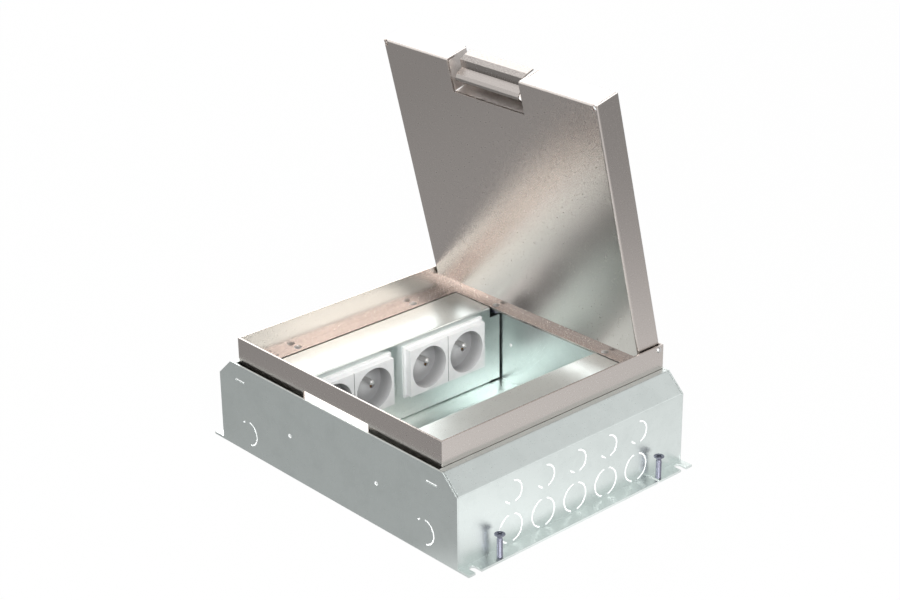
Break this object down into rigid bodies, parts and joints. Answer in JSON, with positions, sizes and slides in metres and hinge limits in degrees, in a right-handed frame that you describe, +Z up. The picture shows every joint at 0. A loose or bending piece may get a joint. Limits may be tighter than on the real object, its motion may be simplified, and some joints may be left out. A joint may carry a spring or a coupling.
{
  "type": "floor socket box",
  "caption": "Sheet-metal floor box with a height-adjustable rim, a hinged lid tray with a flap over its cable outlet, and rows of round-recess sockets inside.",
  "frame": {"origin": "middle of the underside of the galvanised box, on the floor plane that it stands on", "axes": "+X to the right seen from the front, +Y to the rear where the lid is hinged, +Z up"},
  "size_m": [0.3306, 0.26, 0.34],
  "materials": {
    "galvanised": "bright galvanised sheet",
    "stainless": "fine ground stainless sheet",
    "stainless_pin": "turned stainless",
    "zinc_screw": "bluish zinc plate",
    "white_plastic": "smooth, slightly glossy",
    "nickel_pin": "nickel-plated brass",
    "brass": "plain brass spring metal"
  },
  "bodies": {
    "box": {"bottom_plate": "galvanised", "front_wall": "galvanised", "rear_wall": "galvanised", "left_side_wall": "galvanised", "right_side_wall": "galvanised", "height_brackets": "galvanised", "height_nuts": "zinc_screw", "left_carrier": "galvanised", "right_carrier": "galvanised", "carrier_screws": "zinc_screw", "left_front_socket_holder": "white_plastic", "left_front_socket_insert": "white_plastic", "left_front_socket_earth_pins": "nickel_pin", "left_front_socket_contacts": "brass", "left_front_socket_housing": "white_plastic", "left_rear_socket_holder": "white_plastic", "left_rear_socket_insert": "white_plastic", "left_rear_socket_earth_pins": "nickel_pin", "left_rear_socket_contacts": "brass", "left_rear_socket_housing": "white_plastic", "right_front_socket_holder": "white_plastic", "right_front_socket_insert": "white_plastic", "right_front_socket_earth_pins": "nickel_pin", "right_front_socket_contacts": "brass", "right_front_socket_housing": "white_plastic", "right_rear_socket_holder": "white_plastic", "right_rear_socket_insert": "white_plastic", "right_rear_socket_earth_pins": "nickel_pin", "right_rear_socket_contacts": "brass", "right_rear_socket_housing": "white_plastic"},
    "rim": {"rim_frame": "stainless", "height_screws": "zinc_screw", "height_screw_rings": "zinc_screw", "rear_ledge_screws": "zinc_screw", "rear_ledge_nuts": "zinc_screw", "hinge_pins": "stainless_pin"},
    "lid": {"lid_pan": "stainless", "outlet_guard": "stainless", "flap_pins": "stainless_pin"},
    "flap": {"cable_flap": "stainless"},
    "levelling_screw_front_left": {"levelling_screw_front_left": "zinc_screw"},
    "levelling_screw_front_right": {"levelling_screw_front_right": "zinc_screw"},
    "levelling_screw_rear_left": {"levelling_screw_rear_left": "zinc_screw"},
    "levelling_screw_rear_right": {"levelling_screw_rear_right": "zinc_screw"}
  },
  "joints": [
    {"name": "rim_height", "type": "slide", "parent": "box", "child": "rim", "axis": [0, 0, 1], "range_m": [0, 0.01]},
    {"name": "lid_hinge", "type": "hinge", "parent": "rim", "child": "lid", "pos_m": [0, 0.123, 0.1006], "axis": [-1, 0, 0], "range_deg": [-76.1, 13.9]},
    {"name": "flap_hinge", "type": "hinge", "parent": "lid", "child": "flap", "pos_m": [-0.003, 0.06706, 0.31875], "axis": [-1, 0, 0], "range_deg": [0, 90]},
    {"name": "level_front_left", "type": "slide", "parent": "box", "child": "levelling_screw_front_left", "axis": [0, 0, 1], "range_m": [-0.0175, 0]},
    {"name": "level_front_right", "type": "slide", "parent": "box", "child": "levelling_screw_front_right", "axis": [0, 0, 1], "range_m": [-0.0175, 0]},
    {"name": "level_rear_left", "type": "slide", "parent": "box", "child": "levelling_screw_rear_left", "axis": [0, 0, 1], "range_m": [-0.0175, 0]},
    {"name": "level_rear_right", "type": "slide", "parent": "box", "child": "levelling_screw_rear_right", "axis": [0, 0, 1], "range_m": [-0.0175, 0]}
  ]
}
